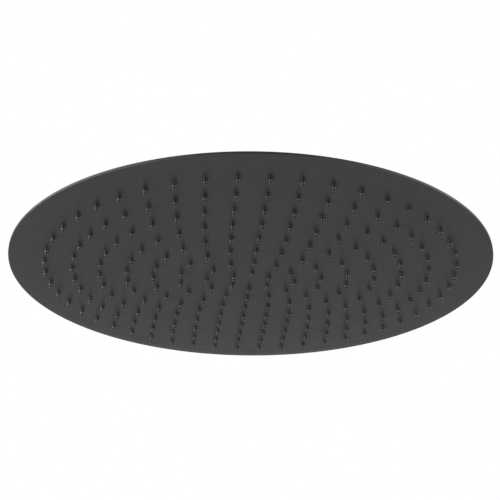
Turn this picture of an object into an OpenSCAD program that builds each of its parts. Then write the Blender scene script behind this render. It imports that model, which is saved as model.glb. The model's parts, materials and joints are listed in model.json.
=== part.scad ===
// Round overhead shower head: a slim disc of two steel plates welded at the rim, with rings of
// rubber nozzles, that hangs from a ball joint with a female pipe thread on top.
// Millimetres. The origin is where the wall of the inlet thread begins, and +Z points up the pipe.

/* [Plates] */
// Outside diameter of the head
head_d = 400; // [360:1:440]
// Thickness of the lower plate, which carries the nozzles
face_t = 1; // [0.8:0.1:1.4]
// Thickness of the upper plate
back_t = 1; // [0.8:0.1:1.4]
// How far the middle of the lower plate stands below its rim
face_crown = 1.9; // [1:0.1:3]
// Width of the flat land at the rim, where the two plates are welded
land_w = 12; // [8:0.5:13]
// Width of the step that lifts the upper plate off the lower one
step_w = 5; // [4:0.5:7]
// Height of that step
step_h = 2.5; // [2.2:0.1:4]
// Height of the water chamber's roof above the land, at the middle
dome_h = 8; // [6:0.5:12]
// Rounding of the plates' outer edges
edge_r = 0.25; // [0.1:0.05:0.35]

/* [Nozzle rings] */
// Radius of the innermost ring of nozzles
first_ring_r = 17.1; // [14:0.1:20]
// Radius of the second ring
second_ring_r = 37.2; // [34:0.1:40]
// Distance from the outermost ring to the edge of the head
rim_margin = 29; // [27:0.5:36]
// Number of nozzles in the innermost ring, and how many more each further ring has
inner_n = 6; // [4:1:7]
// Angle of the ray on which every ring starts
start_angle = 34.5; // [0:0.5:60]
// Width of the flat band in the lower plate under each ring
band_w = 8; // [7:0.5:10]
// Diameter of the punched holes
hole_d = 3.6; // [3.4:0.1:3.9]

/* [Nozzle] */
// Diameter of the shoulder that rests against the outside of the plate
shoulder_d = 4.1; // [4:0.1:4.6]
// Height of the shoulder's straight side
shoulder_h = 0.2; // [0.1:0.1:0.6]
// Diameter at the thin end of the cone
cone_end_d = 2.7; // [2.4:0.1:3]
// Length from the plate to the thin end of the cone
cone_len = 4.2; // [3.5:0.1:5]
// Diameter of the groove behind the bead
groove_d = 2.2; // [1.9:0.1:2.3]
// Width of that groove
groove_w = 0.4; // [0.3:0.1:0.6]
// Diameter of the rounded bead at the tip
bead_d = 2.8; // [2.6:0.1:3.2]
// Length of the bead
bead_len = 0.9; // [0.8:0.1:1.2]
// Diameter of the jet's outlet
outlet_d = 1; // [0.8:0.1:1.3]
// Diameter of the water passage where it starts in the chamber
feed_d = 2.4; // [1.8:0.1:2.8]
// Diameter of the flange that holds the nozzle from inside
flange_d = 6.4; // [5.6:0.1:6.8]
// Thickness of that flange
flange_t = 1.1; // [0.8:0.1:1.3]

/* [Ball joint] */
// Diameter of the ball
ball_d = 24; // [23:0.5:26]
// Depth of the flat under the ball
ball_flat = 1.8; // [1.2:0.1:2.4]
// Diameter of the neck above the ball
neck_d = 14; // [13:0.5:15]
// Diameter of the water passage through the stem
waterway_d = 9; // [7:0.5:10]
// Tilt each way about either level axis, in degrees
tilt_max = 12; // [6:1:12]
// Gap between spherical faces that slide on each other
slide_gap = 0.1; // [0.05:0.05:0.15]
// Wall of the glide ring around the ball
glide_t = 0.9; // [0.7:0.1:1.2]
// Height of the glide ring
glide_h = 8.4; // [7:0.2:8.4]
// Thinnest wall of the seat ring
seat_wall = 3.4; // [2.6:0.2:4]
// Angle between straight up and the upper edge of the seat ring's sphere
wrap_angle = 57.7; // [56:0.1:58.5]
// Angle between straight down and the lower edge of that sphere
foot_angle = 52.4; // [51:0.1:54]
// Radial running clearance of the seat ring in its pocket
pocket_gap = 0.05; // [0.03:0.01:0.08]
// Play of the seat ring at each end
end_play = 0.1; // [0.05:0.05:0.2]
// Thickness of the seal under the ball
seal_t = 2.4; // [2:0.1:2.6]
// Angle between straight down and the place where the seal meets the ball
seal_angle = 42; // [40:1:43]

/* [Socket and collar] */
// Wall of the socket around its pocket
socket_wall = 2.5; // [2:0.1:3.5]
// Floor of the socket under the seal
socket_floor = 2.8; // [2:0.1:4]
// Diameter of the passage through the socket's floor
socket_bore_d = 13; // [10:0.5:14]
// Diameter of the flange welded to the upper plate
base_d = 62; // [58:1:80]
// Thickness of that flange
base_t = 3; // [2:0.1:3.5]
// Diameter of the spigot that goes through the upper plate
spigot_d = 24; // [20:1:28]
// Chamfer on the flange's edge
base_chamfer = 0.6; // [0.2:0.1:1]
// How far the spigot stands into the chamber
spigot_out = 1.5; // [0.5:0.1:3]
// Fillet between the flange and the socket
base_fillet = 2; // [1:0.1:2.2]
// Wall of the collar around the socket's thread
collar_wall = 3; // [2.6:0.1:4.5]
// Thickness of the collar's lip over the seat ring
lip_t = 3; // [2:0.1:3.4]
// How far the socket's rim stays below the lip
rim_gap = 1; // [0.5:0.1:2]
// Gap between the collar and the flange
skirt_gap = 3; // [2.4:0.1:4]
// Clearance around the tilted neck in the collar's mouth
neck_gap = 0.4; // [0.3:0.1:0.6]
// Chamfer on the collar's edges
collar_chamfer = 1; // [0.5:0.1:1.5]
// Grip flutes around the collar
flute_n = 24; // [12:1:30]
// Diameter of the round cutter for a flute
flute_d = 3; // [2:0.1:3.4]
// Depth of a flute
flute_depth = 0.7; // [0.4:0.1:1]

/* [Inlet] */
// Major diameter of the half-inch pipe thread
thread_d = 20.955; // [20.8:0.001:21]
// Length of the threaded wall, from the lead-in down to the washer
thread_len = 10; // [9:0.5:14]
// Diameter of the relief under the thread, where the washer lies
relief_d = 22; // [21.4:0.1:22.6]
// Depth of the lead-in chamfer above it
lead_in = 0.8; // [0.4:0.1:1.2]
// Width of the hexagon across its flats
hex_af = 27; // [27:0.5:30]
// Chamfer on the hexagon's corners
hex_chamfer = 1.4; // [0.8:0.1:2]
// Thickness of the shoulder between the two threads
stop_t = 2; // [1.5:0.1:3]
// Length of the stem's end that is screwed into the hexagon
stem_grip = 5; // [4:0.5:8]
// Distance from the hexagon's underside down to the ball's centre
ball_drop = 17; // [17:0.5:22]
// Diameter of the washer and the restrictor, which pass the thread's crests
washer_d = 18.4; // [17.8:0.1:18.6]
// Thickness of the washer
washer_t = 2.4; // [2:0.1:3]
// Hole through the washer
washer_hole_d = 12.5; // [11:0.5:14]
// Thickness of the filter screen
screen_t = 0.4; // [0.3:0.1:0.6]
// How far the screen's edge goes into the washer
screen_grip = 1.6; // [1:0.1:2]
// Diameter of one hole in the screen
mesh_d = 1; // [0.8:0.1:1.1]
// Distance between the rings of holes in the screen
mesh_pitch = 1.5; // [1.4:0.1:1.6]
// Thickness of the flow restrictor's disc
restrictor_t = 1.6; // [1.2:0.1:2.2]
// Length of the restrictor's hub below its disc
hub_len = 3; // [2:0.1:6]
// Clearance around that hub
hub_gap = 0.1; // [0.05:0.05:0.2]
// Diameter of the restrictor's middle jet
jet_d = 2; // [1.5:0.1:3]
// Diameter of its outer jets
side_jet_d = 1.2; // [0.8:0.1:1.4]
// Radius of the circle of outer jets
side_jet_r = 2.8; // [2.4:0.1:3]
// Number of outer jets
side_jet_n = 6; // [4:1:8]

/* [Hidden] */

ring_total = 8;
screen_rings = 3;
dome_steps = 12;
rise_steps = 8;
cut = 1;
$fn = 96;

head_r = head_d / 2;
land_r = head_r - land_w;
step_r = land_r - step_w;
ring_pitch = (head_r - rim_margin - second_ring_r) / (ring_total - 2);
base_r = base_d / 2;
ball_r = ball_d / 2;
neck_r = neck_d / 2;
waterway_r = waterway_d / 2;

// Both tilts together lean the neck by this much
lean = acos(cos(tilt_max) * cos(tilt_max));

glide_in_r = ball_r + slide_gap;
glide_out_r = glide_in_r + glide_t;
seat_in_r = glide_out_r + slide_gap;
seat_out_r = seat_in_r + seat_wall;
seat_up = seat_in_r * cos(wrap_angle);
seat_down = seat_in_r * cos(foot_angle);
pocket_r = seat_out_r + pocket_gap;
socket_r = pocket_r + socket_wall;
collar_r = socket_r + collar_wall;

// Heights that start with ball_ are measured from the ball's centre
seal_r = seal_t / 2;
seal_reach = ball_r + slide_gap + seal_r;
seal_ring_r = seal_reach * sin(seal_angle);
ball_to_seal = -seal_reach * cos(seal_angle);
ball_to_groove = ball_to_seal - seal_r;
ball_to_base = ball_to_groove - socket_floor;
ball_to_pocket = -seat_down - end_play;
ball_to_lip = seat_up + end_play;
ball_to_rim = ball_to_lip - rim_gap;
ball_to_collar = ball_to_base + base_t + skirt_gap;

// Heights that end with _z are in the part's own frame
seat_z = -thread_len - washer_t - restrictor_t;
stem_top_z = seat_z - stop_t;
hex_bottom_z = stem_top_z - stem_grip;
ball_z = hex_bottom_z - ball_drop;
base_z = ball_z + ball_to_base;
joint_z = base_z - back_t - dome_h;

nozzle_len = cone_len + groove_w + bead_len;
thread_r = thread_d / 2;
screen_r = washer_hole_d / 2 + screen_grip;
screen_z = -thread_len - (washer_t + screen_t) / 2;

// Radius of ring k and its number of nozzles, counted from the middle
function ring_r(k) = k == 0 ? first_ring_r : second_ring_r + (k - 1) * ring_pitch;
function ring_n(k) = inner_n * (k + 1);

// How far the lower plate hangs below its land at radius r
function crown(r) = face_crown * (1 - pow(r / land_r, 2));

// Height of the upper plate's underside above the land at radius r, out to the step
function dome(r) = dome_h - (dome_h - step_h) * pow((r - base_r) / (step_r - base_r), 2);

// Height of the pressed step at radius r, a smooth fall from the dome's edge to the land
function step(r) = step_h * (1 + cos(180 * (r - step_r) / step_w)) / 2;

// Points of a rounded corner of radius r about the point c, from angle a to angle b
function corner(c, r, a, b, n = 4) =
    [for (i = [0 : n]) c + r * [cos(a + (b - a) * i / n), sin(a + (b - a) * i / n)]];

// One line of the lower plate, from the middle out to its land, lowered by drop
function face_line(drop) = concat(
    [[0, -crown(0) - drop]],
    [for (k = [0 : ring_total - 1], side = [-1, 1]) [ring_r(k) + side * band_w / 2, -crown(ring_r(k)) - drop]],
    [[land_r, -drop]]
);

// One line of the upper plate, from its hole out to its land, raised by lift
function back_line(lift) = concat(
    [[spigot_d / 2, dome_h + lift]],
    [for (i = [0 : dome_steps]) let (r = base_r + (step_r - base_r) * i / dome_steps) [r, dome(r) + lift]],
    [for (i = [1 : rise_steps]) let (r = step_r + step_w * i / rise_steps) [r, step(r) + lift]]
);

// The outer edge of a plate between the heights low and high, from bottom to top
function plate_edge(low, high) = concat(
    corner([head_r - edge_r, low + edge_r], edge_r, -90, 0),
    corner([head_r - edge_r, high - edge_r], edge_r, 0, 90)
);

function reversed(list) = [for (i = [len(list) - 1 : -1 : 0]) list[i]];

// Puts its children at each place of ring k, with z = 0 on the lower plate's outer surface
module at_ring(k) {
    for (i = [0 : ring_n(k) - 1])
        rotate([0, 0, start_angle + 360 * i / ring_n(k)])
            translate([ring_r(k), 0, joint_z - crown(ring_r(k)) - face_t])
                children();
}

module face_plate() color([0.2, 0.2, 0.22])
    difference() {
        translate([0, 0, joint_z])
            rotate_extrude()
                polygon(concat(face_line(face_t), plate_edge(-face_t, 0), reversed(face_line(0))));
        for (k = [0 : ring_total - 1])
            at_ring(k)
                translate([0, 0, -cut])
                    cylinder(d = hole_d, h = face_t + 2 * cut, $fn = 32);
    }

module back_plate() color([0.2, 0.2, 0.22])
    translate([0, 0, joint_z])
        rotate_extrude()
            polygon(concat(back_line(0), plate_edge(0, back_t), reversed(back_line(back_t))));

// One rubber nozzle: flange inside the chamber, waist in the hole, shoulder, cone, groove and bead
module nozzle() {
    bead_r = bead_len / 2;
    tip = concat(
        [[outlet_d / 2, -nozzle_len]],
        corner([bead_d / 2 - bead_r, bead_r - nozzle_len], bead_r, -90, 90, 6),
        [[groove_d / 2, bead_len - nozzle_len], [groove_d / 2, -cone_len]]
    );
    body = [
        [cone_end_d / 2, -cone_len],
        [shoulder_d / 2, -shoulder_h],
        [shoulder_d / 2, 0],
        [hole_d / 2, 0],
        [hole_d / 2, face_t]
    ];
    flange = [
        [flange_d / 2, face_t],
        [flange_d / 2, face_t + flange_t],
        [feed_d / 2, face_t + flange_t]
    ];
    rotate_extrude($fn = 32)
        polygon(concat(tip, body, flange));
}

module nozzle_ring(k) color([0.06, 0.06, 0.07])
    at_ring(k)
        nozzle();

// Turned socket: welded flange, threaded wall, pocket for the seat ring and a step for the seal
module socket_base() color([0.2, 0.2, 0.22])
    translate([0, 0, ball_z])
        difference() {
            rotate_extrude()
                polygon(concat(
                    [
                        [0, ball_to_base - back_t - spigot_out],
                        [spigot_d / 2, ball_to_base - back_t - spigot_out],
                        [spigot_d / 2, ball_to_base],
                        [base_r, ball_to_base],
                        [base_r, ball_to_base + base_t - base_chamfer],
                        [base_r - base_chamfer, ball_to_base + base_t]
                    ],
                    corner([socket_r + base_fillet, ball_to_base + base_t + base_fillet], base_fillet, 270, 180, 6),
                    [[socket_r, ball_to_rim], [0, ball_to_rim]]
                ));
            translate([0, 0, ball_to_pocket])
                cylinder(r = pocket_r, h = ball_to_rim - ball_to_pocket + cut);
            translate([0, 0, ball_to_groove])
                cylinder(r = seal_ring_r + seal_r, h = ball_to_pocket - ball_to_groove + cut);
            translate([0, 0, ball_to_base - back_t - spigot_out - cut])
                cylinder(d = socket_bore_d, h = back_t + spigot_out + socket_floor + 2 * cut);
        }

// Collar with a lip over the seat ring, a flared mouth for the leaning neck and grip flutes
module collar_nut() color([0.2, 0.2, 0.22]) {
    mouth_low = neck_r / cos(lean) + ball_to_lip * tan(lean) + neck_gap;
    mouth_high = mouth_low + lip_t * tan(lean);
    top = ball_to_lip + lip_t;
    translate([0, 0, ball_z])
        difference() {
            rotate_extrude()
                polygon([
                    [socket_r, ball_to_collar],
                    [collar_r - collar_chamfer, ball_to_collar],
                    [collar_r, ball_to_collar + collar_chamfer],
                    [collar_r, top - collar_chamfer],
                    [collar_r - collar_chamfer, top],
                    [mouth_high, top],
                    [mouth_low, ball_to_lip],
                    [socket_r, ball_to_lip]
                ]);
            for (i = [0 : flute_n - 1])
                rotate([0, 0, 360 * i / flute_n])
                    translate([collar_r + flute_d / 2 - flute_depth, 0, ball_to_collar - cut])
                        cylinder(d = flute_d, h = top - ball_to_collar + 2 * cut, $fn = 24);
        }
}

// Outer seat: round outside to turn in the socket, spherical inside
module seat_ring() color([0.9, 0.9, 0.88])
    translate([0, 0, ball_z])
        difference() {
            translate([0, 0, -seat_down])
                cylinder(r = seat_out_r, h = seat_up + seat_down);
            sphere(r = seat_in_r);
        }

// Thin ring with concentric spherical faces between the ball and the seat ring
module glide_ring() color([0.8, 0.82, 0.84])
    translate([0, 0, ball_z])
        difference() {
            intersection() {
                sphere(r = glide_out_r);
                cube([3 * ball_d, 3 * ball_d, glide_h], center = true);
            }
            sphere(r = glide_in_r);
        }

module ball_seal() color([0.05, 0.05, 0.05])
    translate([0, 0, ball_z + ball_to_seal])
        rotate_extrude()
            translate([seal_ring_r, 0])
                circle(r = seal_r, $fn = 32);

module ball_stem() color([0.75, 0.76, 0.78])
    translate([0, 0, ball_z])
        difference() {
            union() {
                sphere(r = ball_r);
                cylinder(r = neck_r, h = ball_drop + stem_grip);
            }
            translate([0, 0, -ball_r - cut])
                cylinder(r = waterway_r, h = ball_r + ball_drop + stem_grip + 2 * cut);
            translate([0, 0, -2 * ball_r + ball_flat])
                cylinder(r = ball_r, h = ball_r);
        }

// Hexagon with the pipe thread above its shoulder and the stem's thread below it
module inlet_fitting() color([0.2, 0.2, 0.22]) {
    corner_r = hex_af / 2 / cos(30);
    difference() {
        intersection() {
            translate([0, 0, hex_bottom_z])
                cylinder(r = corner_r, h = lead_in - hex_bottom_z, $fn = 6);
            rotate_extrude()
                polygon([
                    [0, hex_bottom_z],
                    [corner_r - hex_chamfer, hex_bottom_z],
                    [corner_r, hex_bottom_z + hex_chamfer / 2],
                    [corner_r, lead_in - hex_chamfer / 2],
                    [corner_r - hex_chamfer, lead_in],
                    [0, lead_in]
                ]);
        }
        translate([0, 0, -thread_len - cut])
            cylinder(r = thread_r, h = thread_len + lead_in + 2 * cut);
        cylinder(r1 = thread_r, r2 = thread_r + lead_in + cut, h = lead_in + cut);
        translate([0, 0, seat_z])
            cylinder(d = relief_d, h = -thread_len - seat_z);
        translate([0, 0, hex_bottom_z - cut])
            cylinder(r = neck_r, h = stem_grip + cut);
        translate([0, 0, stem_top_z - cut])
            cylinder(r = waterway_r, h = stop_t + 2 * cut);
    }
}

// Rubber washer with a slot inside that holds the screen's edge
module inlet_washer() color([0.08, 0.08, 0.08])
    difference() {
        translate([0, 0, -thread_len - washer_t])
            cylinder(d = washer_d, h = washer_t);
        translate([0, 0, -thread_len - washer_t - cut])
            cylinder(d = washer_hole_d, h = washer_t + 2 * cut);
        translate([0, 0, screen_z])
            cylinder(r = screen_r, h = screen_t);
    }

module filter_screen() color([0.7, 0.7, 0.72])
    translate([0, 0, screen_z])
        difference() {
            cylinder(r = screen_r, h = screen_t);
            translate([0, 0, -cut])
                cylinder(d = mesh_d, h = screen_t + 2 * cut, $fn = 16);
            for (k = [1 : screen_rings], i = [0 : 6 * k - 1])
                rotate([0, 0, 60 * i / k])
                    translate([k * mesh_pitch, 0, -cut])
                        cylinder(d = mesh_d, h = screen_t + 2 * cut, $fn = 16);
        }

// Plastic disc on the shoulder, with a hub in the stem's passage and jets through it
module flow_restrictor() color([0.25, 0.5, 0.35])
    translate([0, 0, seat_z])
        difference() {
            union() {
                cylinder(d = washer_d, h = restrictor_t);
                translate([0, 0, -hub_len])
                    cylinder(r = waterway_r - hub_gap, h = hub_len + restrictor_t);
            }
            translate([0, 0, -hub_len - cut])
                cylinder(d = jet_d, h = hub_len + restrictor_t + 2 * cut, $fn = 24);
            for (i = [0 : side_jet_n - 1])
                rotate([0, 0, 360 * i / side_jet_n])
                    translate([side_jet_r, 0, -hub_len - cut])
                        cylinder(d = side_jet_d, h = hub_len + restrictor_t + 2 * cut, $fn = 24);
        }

face_plate();
back_plate();
nozzle_ring(0);  // nozzle_ring_1
nozzle_ring(1);  // nozzle_ring_2
nozzle_ring(2);  // nozzle_ring_3
nozzle_ring(3);  // nozzle_ring_4
nozzle_ring(4);  // nozzle_ring_5
nozzle_ring(5);  // nozzle_ring_6
nozzle_ring(6);  // nozzle_ring_7
nozzle_ring(7);  // nozzle_ring_8
socket_base();
collar_nut();
seat_ring();
glide_ring();
ball_seal();
ball_stem();
inlet_fitting();
inlet_washer();
filter_screen();
flow_restrictor();
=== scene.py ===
import json
from math import atan2, ceil, cos, hypot, pi, radians, sin

import bpy
from mathutils import Matrix, Vector
from mathutils.geometry import delaunay_2d_cdt


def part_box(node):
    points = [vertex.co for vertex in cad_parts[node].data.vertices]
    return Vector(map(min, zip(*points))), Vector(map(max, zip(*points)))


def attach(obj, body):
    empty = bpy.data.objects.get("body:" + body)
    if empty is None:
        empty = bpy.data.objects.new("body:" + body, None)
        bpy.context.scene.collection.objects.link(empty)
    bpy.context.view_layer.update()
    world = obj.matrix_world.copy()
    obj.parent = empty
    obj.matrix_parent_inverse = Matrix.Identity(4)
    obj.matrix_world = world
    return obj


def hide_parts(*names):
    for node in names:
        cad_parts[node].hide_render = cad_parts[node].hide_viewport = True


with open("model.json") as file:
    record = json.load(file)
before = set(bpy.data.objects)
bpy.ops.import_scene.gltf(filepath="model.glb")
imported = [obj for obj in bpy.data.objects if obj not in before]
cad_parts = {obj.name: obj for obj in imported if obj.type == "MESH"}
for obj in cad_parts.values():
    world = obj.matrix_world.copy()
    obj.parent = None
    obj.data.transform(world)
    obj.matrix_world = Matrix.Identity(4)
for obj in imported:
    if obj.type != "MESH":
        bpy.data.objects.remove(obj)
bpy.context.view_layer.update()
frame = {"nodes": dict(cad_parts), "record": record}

scene = bpy.context.scene
scene.view_settings.view_transform = "Standard"

# Lengths below are in millimetres, in the part's own frame, unless a comment says otherwise
MM = 0.001
face_low, face_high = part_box("face_plate")
HEAD_R = 200.0
JOINT_Z = face_high.z / MM
FACE_T = 1.0
BACK_T = 1.0
CROWN = 1.9
LAND_R = 188.0
STEP_R = 183.0
STEP_H = 2.5
DOME_H = 8.0
SOCKET_FLANGE_R = 31.0
SPIGOT_R = 12.0
EDGE_R = 0.25
RIM_STEPS = 480
DOME_RINGS = 24
RISE_RINGS = 8

RINGS = 8
FIRST_RING_R = 17.1
SECOND_RING_R = 37.2
RING_PITCH = 22.3
START_ANGLE = 34.5
HOLE_R = 1.8
HOLE_STEPS = 24
NOZZLE_R = 2.05
NOZZLE_LEN = 5.5
CONE_LEN = 4.2
CONE_END_R = 1.35
GROOVE_R = 1.1
NOZZLE_BEAD_R = 1.4
BEAD_ROUND = 0.4
BEAD_LOW = -4.65
OUTLET_R = 0.5
FEED_R = 1.2
FLANGE_R = 3.2
FLANGE_T = 1.1
NOZZLE_STEPS = 28
GRID = 8.0
GRID_CLEAR = 3.0

THREAD_R = 10.4775
THREAD_CREST_R = 9.3155
THREAD_PITCH = 1.814
THREAD_LEN = 10.0
THREAD_STEPS = 72

FLOOR_Z = -1500.0
FLOOR_R = 9000.0


def ring_r(k):
    return FIRST_RING_R if k == 0 else SECOND_RING_R + (k - 1) * RING_PITCH


def ring_places(k):
    """The angle of each nozzle of ring k, in radians."""
    count = 6 * (k + 1)
    return [radians(START_ANGLE) + 2 * pi * i / count for i in range(count)]


def crown(r):
    """How far the lower plate hangs below its land at radius r."""
    return CROWN * (1 - (r / LAND_R) ** 2) if r < LAND_R else 0.0


def dome(r):
    """Height of the upper plate's underside above the land at radius r, out to the step."""
    if r < SOCKET_FLANGE_R:
        return DOME_H
    return DOME_H - (DOME_H - STEP_H) * ((r - SOCKET_FLANGE_R) / (STEP_R - SOCKET_FLANGE_R)) ** 2


def step(r):
    """Height of the pressed step at radius r, a smooth fall from the dome's edge to the land."""
    return STEP_H * (1 + cos(pi * (r - STEP_R) / (LAND_R - STEP_R))) / 2


def arc(x, z, r, start, end, steps):
    """Points of a rounded corner about (x, z), from one angle to another in degrees."""
    return [
        (
            x + r * cos(radians(start + (end - start) * i / steps)),
            z + r * sin(radians(start + (end - start) * i / steps)),
        )
        for i in range(steps + 1)
    ]


class Shell:
    """Collects the points and faces of one piece, in millimetres."""

    def __init__(self):
        self.points = []
        self.faces = []

    def add(self, points):
        first = len(self.points)
        self.points.extend(points)
        return list(range(first, first + len(points)))

    def join(self, a, b, closed=True):
        """Quads between two rows of points."""
        count = len(a)
        for i in range(count if closed else count - 1):
            j = (i + 1) % count
            self.faces.append((a[i], a[j], b[j], b[i]))

    def lathe(self, profile, steps, place=Matrix.Identity(4)):
        """Turns a closed profile of (r, z) points once around Z."""
        turns = [2 * pi * i / steps for i in range(steps)]
        rows = [
            self.add([place @ Vector((r * cos(t), r * sin(t), z)) for t in turns])
            for r, z in profile
        ]
        for i, row in enumerate(rows):
            self.join(row, rows[(i + 1) % len(rows)])

    def piece(self, name, body, finish, nodes=(), sharp=30):
        """Makes the Blender object, smooth but for the edges sharper than the angle."""
        mesh = bpy.data.meshes.new(name)
        mesh.from_pydata([Vector(p) * MM for p in self.points], [], self.faces)
        mesh.validate()
        mesh.shade_smooth()
        mesh.set_sharp_from_angle(angle=radians(sharp))
        mesh.materials.append(finish)
        made = bpy.data.objects.new(name, mesh)
        scene.collection.objects.link(made)
        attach(made, body)
        if nodes:
            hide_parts(*nodes)
        return made


# Materials: each is a Principled shader whose colour, roughness and bump come from noise
def finish(name, colour, rough, grain, bump=0.0, vary=0.1, rough_vary=0.08, stretch=(1, 1, 1), **sockets):
    """A material with grains of the given size, in metres, in its colour, roughness and height."""
    made = bpy.data.materials.new(name)
    made.use_nodes = True
    nodes, links = made.node_tree.nodes, made.node_tree.links
    shader = nodes["Principled BSDF"]
    for socket, value in sockets.items():
        shader.inputs[socket.replace("_", " ")].default_value = value
    place = nodes.new("ShaderNodeTexCoord")
    scale = nodes.new("ShaderNodeMapping")
    scale.inputs["Scale"].default_value = [s / grain for s in stretch]
    links.new(place.outputs["Object"], scale.inputs["Vector"])
    fine = nodes.new("ShaderNodeTexNoise")
    fine.inputs["Scale"].default_value = 1.0
    fine.inputs["Detail"].default_value = 3.0
    links.new(scale.outputs["Vector"], fine.inputs["Vector"])
    cloud = nodes.new("ShaderNodeTexNoise")
    cloud.inputs["Scale"].default_value = 0.04
    cloud.inputs["Detail"].default_value = 2.0
    links.new(scale.outputs["Vector"], cloud.inputs["Vector"])
    tint = nodes.new("ShaderNodeMix")
    tint.data_type = "RGBA"
    tint.inputs["A"].default_value = [c * (1 - vary) for c in colour] + [1]
    tint.inputs["B"].default_value = [c * (1 + vary) for c in colour] + [1]
    links.new(fine.outputs["Fac"], tint.inputs["Factor"])
    links.new(tint.outputs["Result"], shader.inputs["Base Color"])
    gloss = nodes.new("ShaderNodeMapRange")
    gloss.inputs["To Min"].default_value = rough - rough_vary
    gloss.inputs["To Max"].default_value = rough + rough_vary
    links.new(cloud.outputs["Fac"], gloss.inputs["Value"])
    links.new(gloss.outputs["Result"], shader.inputs["Roughness"])
    if bump:
        height = nodes.new("ShaderNodeBump")
        height.inputs["Strength"].default_value = 1.0
        height.inputs["Distance"].default_value = bump
        links.new(fine.outputs["Fac"], height.inputs["Height"])
        links.new(height.outputs["Normal"], shader.inputs["Normal"])
    return made


COAT = (0.02, 0.0195, 0.0225)
finishes = {
    "black_steel": finish("black_steel", COAT, 0.42, 0.0007, bump=0.000004, Specular_IOR_Level=0.25),
    "black_brass": finish("black_brass", COAT, 0.42, 0.0007, bump=0.000008, Specular_IOR_Level=0.35),
    "silicone": finish("silicone", (0.012, 0.012, 0.013), 0.24, 0.0004, bump=0.0000005, vary=0.15),
    "ball_chrome": finish(
        "ball_chrome", (0.62, 0.63, 0.65), 0.1, 0.0006,
        vary=0.03, rough_vary=0.03, stretch=(0.2, 0.2, 3), Metallic=1.0,
    ),
    "acetal": finish(
        "acetal", (0.78, 0.77, 0.73), 0.42, 0.0009,
        bump=0.000008, vary=0.03, stretch=(0.2, 0.2, 4),
    ),
    "seal_rubber": finish("seal_rubber", (0.02, 0.02, 0.02), 0.6, 0.0003, bump=0.00001),
    "screen_steel": finish(
        "screen_steel", (0.55, 0.55, 0.56), 0.3, 0.0003,
        bump=0.000004, vary=0.08, stretch=(0.1, 2, 1), Metallic=1.0,
    ),
    "restrictor_plastic": finish(
        "restrictor_plastic", (0.06, 0.22, 0.12), 0.45, 0.0008,
        bump=0.00001, vary=0.06,
    ),
}
slots = {row["node"]: row["material_slot"] for row in frame["record"]["subparts"]}
for node, part in frame["nodes"].items():
    part.data.materials.clear()
    part.data.materials.append(finishes[slots[node]])


def face_plate():
    """The lower plate: a crowned disc with its punched holes, a flat land and a rounded edge."""
    shell = Shell()
    centres = [(ring_r(k) * cos(t), ring_r(k) * sin(t)) for k in range(RINGS) for t in ring_places(k)]
    rim_turns = [2 * pi * i / RIM_STEPS for i in range(RIM_STEPS)]
    flat = [(LAND_R * cos(t), LAND_R * sin(t)) for t in rim_turns]
    edges = [(i, (i + 1) % RIM_STEPS) for i in range(RIM_STEPS)]
    hole_of = [-1] * RIM_STEPS
    for h, (x, y) in enumerate(centres):
        first = len(flat)
        for i in range(HOLE_STEPS):
            turn = 2 * pi * i / HOLE_STEPS
            flat.append((x + HOLE_R * cos(turn), y + HOLE_R * sin(turn)))
            edges.append((first + i, first + (i + 1) % HOLE_STEPS))
            hole_of.append(h)
    rows = ceil(LAND_R / (GRID * sin(pi / 3)))
    for j in range(-rows, rows + 1):
        y = j * GRID * sin(pi / 3)
        for i in range(-rows, rows + 1):
            x = (i + (j % 2) / 2) * GRID
            clear = min(hypot(x - cx, y - cy) for cx, cy in centres)
            if hypot(x, y) < LAND_R - GRID_CLEAR and clear > HOLE_R + GRID_CLEAR:
                flat.append((x, y))
                hole_of.append(-1)
    points, _, faces, *_ = delaunay_2d_cdt([Vector(p) for p in flat], edges, [], 0, 1e-5, False)
    faces = [f for f in faces if hole_of[f[0]] < 0 or len({hole_of[i] for i in f}) > 1]
    low = shell.add([(x, y, JOINT_Z - FACE_T - crown(hypot(x, y))) for x, y in points])
    high = shell.add([(x, y, JOINT_Z - crown(hypot(x, y))) for x, y in points])
    shell.faces += [(low[c], low[b], low[a]) for a, b, c in faces]
    shell.faces += [(high[a], high[b], high[c]) for a, b, c in faces]
    for first in range(RIM_STEPS, RIM_STEPS + len(centres) * HOLE_STEPS, HOLE_STEPS):
        shell.join(high[first:first + HOLE_STEPS], low[first:first + HOLE_STEPS])
    corner = HEAD_R - EDGE_R
    edge = (
        arc(corner, JOINT_Z - FACE_T + EDGE_R, EDGE_R, -90, 0, 4)
        + arc(corner, JOINT_Z - EDGE_R, EDGE_R, 0, 90, 4)
    )
    before = low[:RIM_STEPS]
    for r, z in edge:
        row = shell.add([(r * x / LAND_R, r * y / LAND_R, z) for x, y in points[:RIM_STEPS]])
        shell.join(before, row)
        before = row
    shell.join(before, high[:RIM_STEPS])
    return shell.piece("face_sheet", "head", finishes["black_steel"], ["face_plate"])


def back_plate():
    """The upper plate: a land like the lower one's, a step and a shallow dome with the socket's hole."""
    radii = [STEP_R + (SOCKET_FLANGE_R - STEP_R) * i / DOME_RINGS for i in range(DOME_RINGS + 1)]
    rise = [LAND_R + (STEP_R - LAND_R) * i / RISE_RINGS for i in range(RISE_RINGS)]
    line = [(r, step(r)) for r in rise] + [(r, dome(r)) for r in radii] + [(SPIGOT_R, DOME_H)]
    inner = [(r, JOINT_Z + h) for r, h in line]
    outer = [(r, JOINT_Z + h + BACK_T) for r, h in reversed(line)]
    corner = HEAD_R - EDGE_R
    edge = (
        arc(corner, JOINT_Z + BACK_T - EDGE_R, EDGE_R, 90, 0, 4)
        + arc(corner, JOINT_Z + EDGE_R, EDGE_R, 0, -90, 4)
    )
    shell = Shell()
    shell.lathe(inner + outer + edge, RIM_STEPS)
    return shell.piece("back_sheet", "head", finishes["black_steel"], ["back_plate"])


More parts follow.
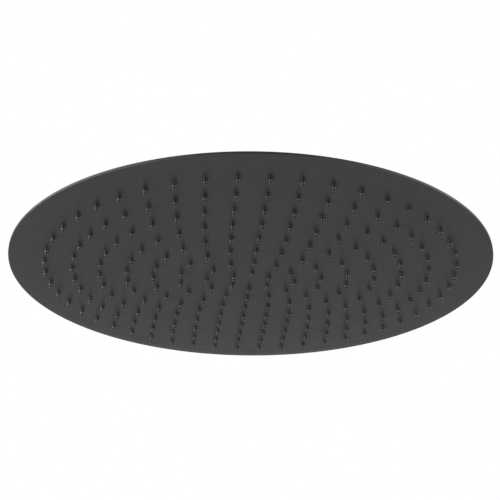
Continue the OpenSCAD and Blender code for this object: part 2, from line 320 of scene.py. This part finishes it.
def nozzle_profile():
    """One rubber nozzle, with z = 0 on the plate's outer surface."""
    bead = arc(NOZZLE_BEAD_R - BEAD_ROUND, BEAD_ROUND - NOZZLE_LEN, BEAD_ROUND, -90, 90, 8)
    tip = [(OUTLET_R, 0.15 - NOZZLE_LEN), (OUTLET_R + 0.12, -NOZZLE_LEN)] + bead
    groove = [(GROOVE_R, BEAD_LOW), (GROOVE_R, -CONE_LEN - 0.05)]
    cone = [
        (CONE_END_R - 0.06, -CONE_LEN),
        (CONE_END_R, 0.08 - CONE_LEN),
        (1.6, -2.8),
        (1.83, -1.4),
        (NOZZLE_R - 0.04, -0.35),
    ]
    shoulder = [(NOZZLE_R, -0.2), (NOZZLE_R, 0.0), (HOLE_R, 0.0), (HOLE_R, FACE_T)]
    flange = [(FLANGE_R, FACE_T), (FLANGE_R, FACE_T + FLANGE_T), (FEED_R, FACE_T + FLANGE_T)]
    return tip + groove + cone + shoulder + flange


def nozzle_ring(k):
    shell = Shell()
    profile = list(reversed(nozzle_profile()))
    r = ring_r(k)
    for turn in ring_places(k):
        place = Matrix.Rotation(turn, 4, "Z") @ Matrix.Translation((r, 0, JOINT_Z - crown(r) - FACE_T))
        shell.lathe(profile, NOZZLE_STEPS, place)
    name = f"nozzle_ring_{k + 1}"
    return shell.piece(f"nozzles_{k + 1}", "head", finishes["silicone"], [name])


def inlet_thread():
    """The ridge of the pipe thread, wound inside the inlet's plain bore."""
    shell = Shell()
    turns = (THREAD_LEN - THREAD_PITCH) / THREAD_PITCH
    count = int(turns * THREAD_STEPS)
    rows = []
    for i in range(count + 1):
        turn = 2 * pi * i / THREAD_STEPS
        end = min(1.0, min(i, count - i) / (THREAD_STEPS / 4))
        crest = THREAD_R - (THREAD_R - THREAD_CREST_R) * end
        z = -THREAD_LEN + THREAD_PITCH * (0.5 + i / THREAD_STEPS)
        half = 0.44 * THREAD_PITCH * max(end, 0.1)
        section = [(THREAD_R, -half), (crest, -half * 0.22), (crest, half * 0.22), (THREAD_R, half)]
        rows.append(shell.add([(r * cos(turn), r * sin(turn), z + h) for r, h in section]))
    for a, b in zip(rows, rows[1:]):
        shell.join(a, b)
    shell.faces += [tuple(rows[0]), tuple(reversed(rows[-1]))]
    return shell.piece("inlet_thread", "inlet", finishes["black_brass"])


face_plate()
back_plate()
for k in range(RINGS):
    nozzle_ring(k)
inlet_thread()

# Camera: below the rim's plane and in front, with the face's middle a little below the picture's
LENS_PIXELS = 933.42
PICTURE = 500
DISTANCE = 790.4
BELOW = 23.88
MIDDLE_RIGHT = 0.70
MIDDLE_DOWN = 27.69
ROLL = 0.266
middle = Vector((0, 0, JOINT_Z - FACE_T))
forward = Vector((0, cos(radians(BELOW)), sin(radians(BELOW))))
right = Vector((1, 0, 0))
up = right.cross(forward)
place = middle - forward * DISTANCE
pitch = atan2(-MIDDLE_DOWN, LENS_PIXELS)
up, forward = up * cos(pitch) + forward * sin(pitch), forward * cos(pitch) - up * sin(pitch)
yaw = atan2(MIDDLE_RIGHT, LENS_PIXELS)
right, forward = right * cos(yaw) + forward * sin(yaw), forward * cos(yaw) - right * sin(yaw)
roll = radians(ROLL)
right, up = right * cos(roll) + up * sin(roll), up * cos(roll) - right * sin(roll)
camera = bpy.data.objects.new("camera", bpy.data.cameras.new("camera"))
camera.data.sensor_width = 36.0
camera.data.lens = LENS_PIXELS / PICTURE * camera.data.sensor_width
camera.data.clip_start = 0.01
camera.matrix_world = Matrix.Translation(place * MM) @ Matrix((right, up, -forward)).transposed().to_4x4()
scene.collection.objects.link(camera)
scene.camera = camera


def lamp(name, place, target, size, power):
    """A soft rectangular lamp that faces the target. Places and sizes are in metres."""
    light = bpy.data.lights.new(name, "AREA")
    light.shape = "RECTANGLE"
    light.size, light.size_y = size
    light.energy = power
    made = bpy.data.objects.new(name, light)
    made.location = place
    made.rotation_euler = (Vector(target) - Vector(place)).to_track_quat("-Z", "Y").to_euler()
    made.visible_camera = False
    scene.collection.objects.link(made)


HEAD_AT = (0, 0, -0.06)
lamp("key_left", (-1.6, -0.6, 0.05), HEAD_AT, (2.6, 2.2), 90)
lamp("fill_right", (1.6, -0.6, 0.05), HEAD_AT, (2.6, 2.2), 50)
lamp("overhead", (0, 0.3, 1.8), HEAD_AT, (2.4, 2.4), 20)

# Room: the camera and clear things see plain white, and the object a room that dims towards the camera's side
ROOM_LEVEL = 0.3
ROOM_DIM = 0.1
world = bpy.data.worlds.new("room")
scene.world = world
world.use_nodes = True
nodes, links = world.node_tree.nodes, world.node_tree.links
nodes.clear()
direction = nodes.new("ShaderNodeTexCoord")
axes = nodes.new("ShaderNodeSeparateXYZ")
links.new(direction.outputs["Generated"], axes.inputs["Vector"])
backness = nodes.new("ShaderNodeMapRange")
backness.interpolation_type = "SMOOTHSTEP"
backness.inputs["From Min"].default_value = -0.5
backness.inputs["From Max"].default_value = 0.2
links.new(axes.outputs["Y"], backness.inputs["Value"])
level = nodes.new("ShaderNodeMapRange")
level.inputs["To Min"].default_value = ROOM_DIM
level.inputs["To Max"].default_value = ROOM_LEVEL
links.new(backness.outputs["Result"], level.inputs["Value"])
room = nodes.new("ShaderNodeBackground")
room.inputs["Color"].default_value = (1, 1, 1, 1)
links.new(level.outputs["Result"], room.inputs["Strength"])
white = nodes.new("ShaderNodeBackground")
white.inputs["Color"].default_value = (1, 1, 1, 1)
rays = nodes.new("ShaderNodeLightPath")
glossy = nodes.new("ShaderNodeMath")
glossy.operation = "MULTIPLY"
links.new(rays.outputs["Is Glossy Ray"], glossy.inputs[0])
links.new(backness.outputs["Result"], glossy.inputs[1])
clear = nodes.new("ShaderNodeMath")
clear.operation = "MAXIMUM"
links.new(rays.outputs["Is Camera Ray"], clear.inputs[0])
links.new(rays.outputs["Is Transmission Ray"], clear.inputs[1])
seen = nodes.new("ShaderNodeMath")
seen.operation = "MAXIMUM"
links.new(clear.outputs["Value"], seen.inputs[0])
links.new(glossy.outputs["Value"], seen.inputs[1])
mix = nodes.new("ShaderNodeMixShader")
links.new(seen.outputs["Value"], mix.inputs["Fac"])
links.new(room.outputs["Background"], mix.inputs[1])
links.new(white.outputs["Background"], mix.inputs[2])
output = nodes.new("ShaderNodeOutputWorld")
links.new(mix.outputs["Shader"], output.inputs["Surface"])

# Floor: a wide pale disc below the head
floor = Shell()
rim = [2 * pi * i / 64 for i in range(64)]
floor.faces.append(tuple(floor.add([(FLOOR_R * cos(t), FLOOR_R * sin(t), FLOOR_Z) for t in rim])))
ground_mesh = bpy.data.meshes.new("floor")
ground_mesh.from_pydata([Vector(p) * MM for p in floor.points], [], floor.faces)
ground = bpy.data.objects.new("floor", ground_mesh)
pale = finish("floor_pale", (0.9, 0.9, 0.9), 0.8, 0.01, vary=0.01, Specular_IOR_Level=0.2)
ground_mesh.materials.append(pale)
scene.collection.objects.link(ground)
